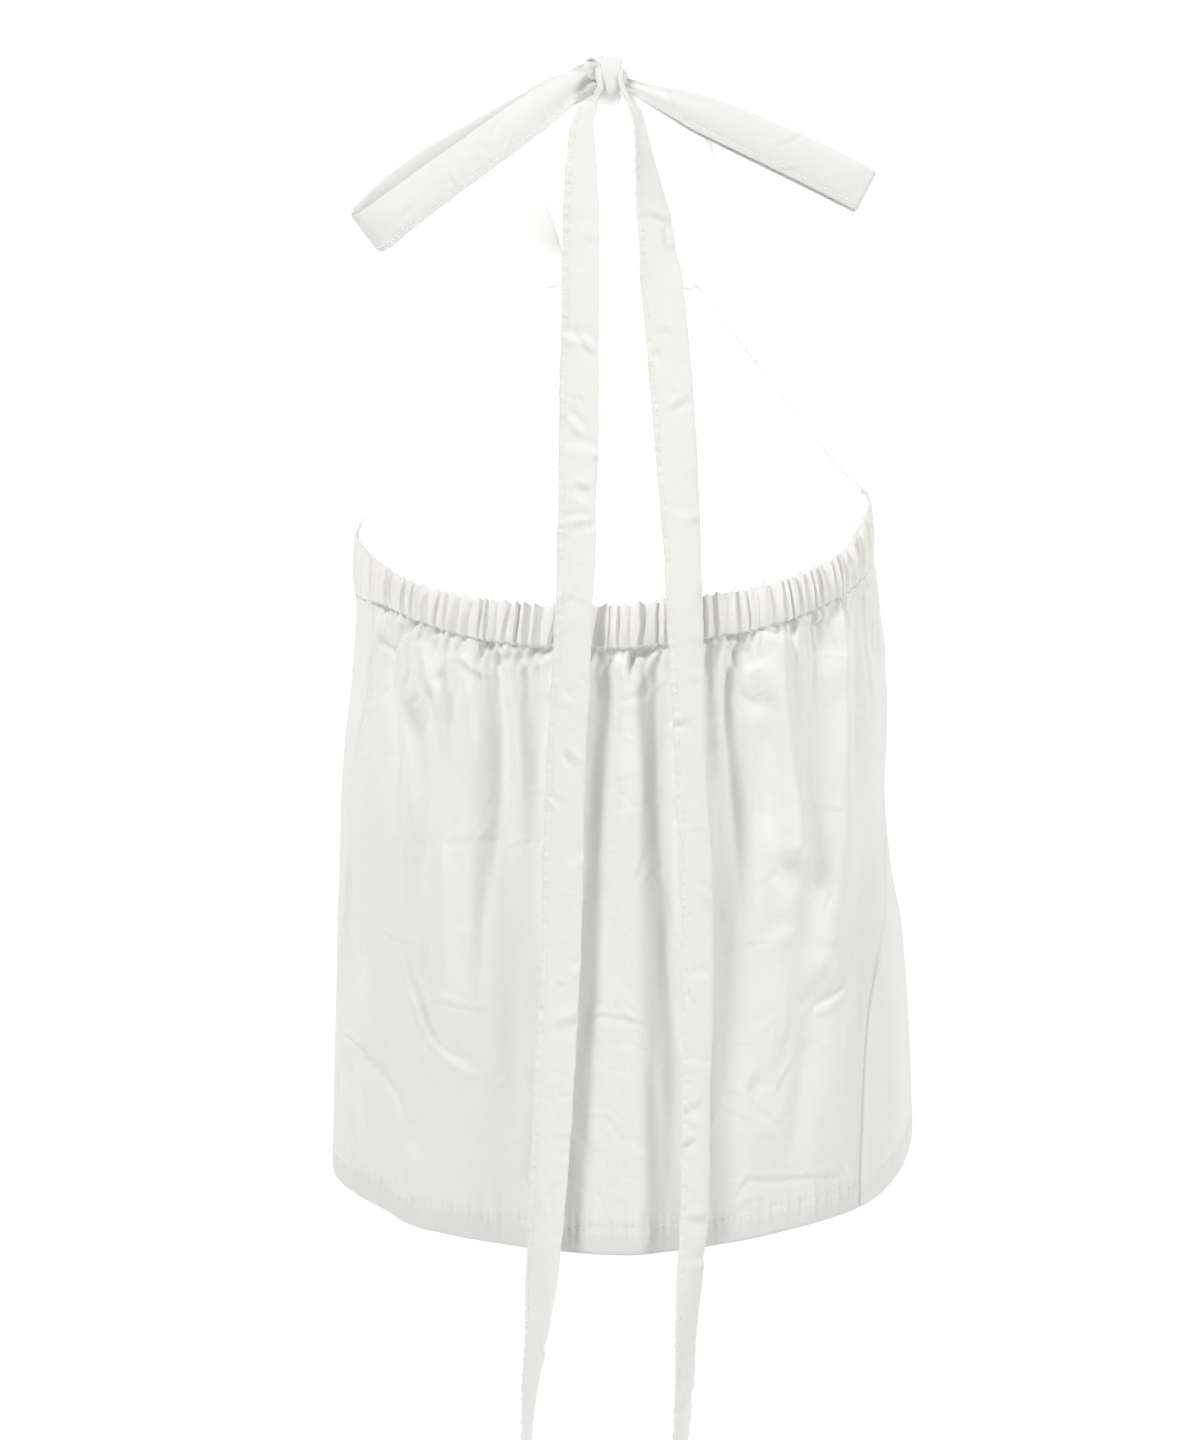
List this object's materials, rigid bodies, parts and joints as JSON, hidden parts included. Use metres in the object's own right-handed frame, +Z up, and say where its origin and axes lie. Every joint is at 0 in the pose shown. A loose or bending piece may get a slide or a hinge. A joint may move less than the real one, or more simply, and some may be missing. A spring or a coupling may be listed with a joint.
{
  "type": "halter tank top",
  "caption": "Sleeveless white cotton halter top as worn, with a ruched elastic back neckline, curved hem and a bow tied at the nape with two long ends.",
  "frame": {"origin": "the nape of the wearer's neck, on the inner face of the knot that holds the garment up", "axes": "+Z up; the back of the garment faces -Y; +X to the right of someone who looks at the back"},
  "size_m": [0.3555, 0.2499, 0.8355],
  "materials": {
    "poplin": "matt plain-weave cotton",
    "casing": "matt plain-weave cotton over elastic, ruched",
    "tie": "matt folded and topstitched cotton"
  },
  "bodies": {
    "root": {"back_panel": "poplin", "front_panel": "poplin", "back_casing": "casing", "knot": "tie", "bow_loop_left": "tie", "bow_loop_right": "tie", "tie_tail_left": "tie", "tie_tail_right": "tie", "neck_strap_left": "tie", "neck_strap_right": "tie"}
  },
  "joints": []
}
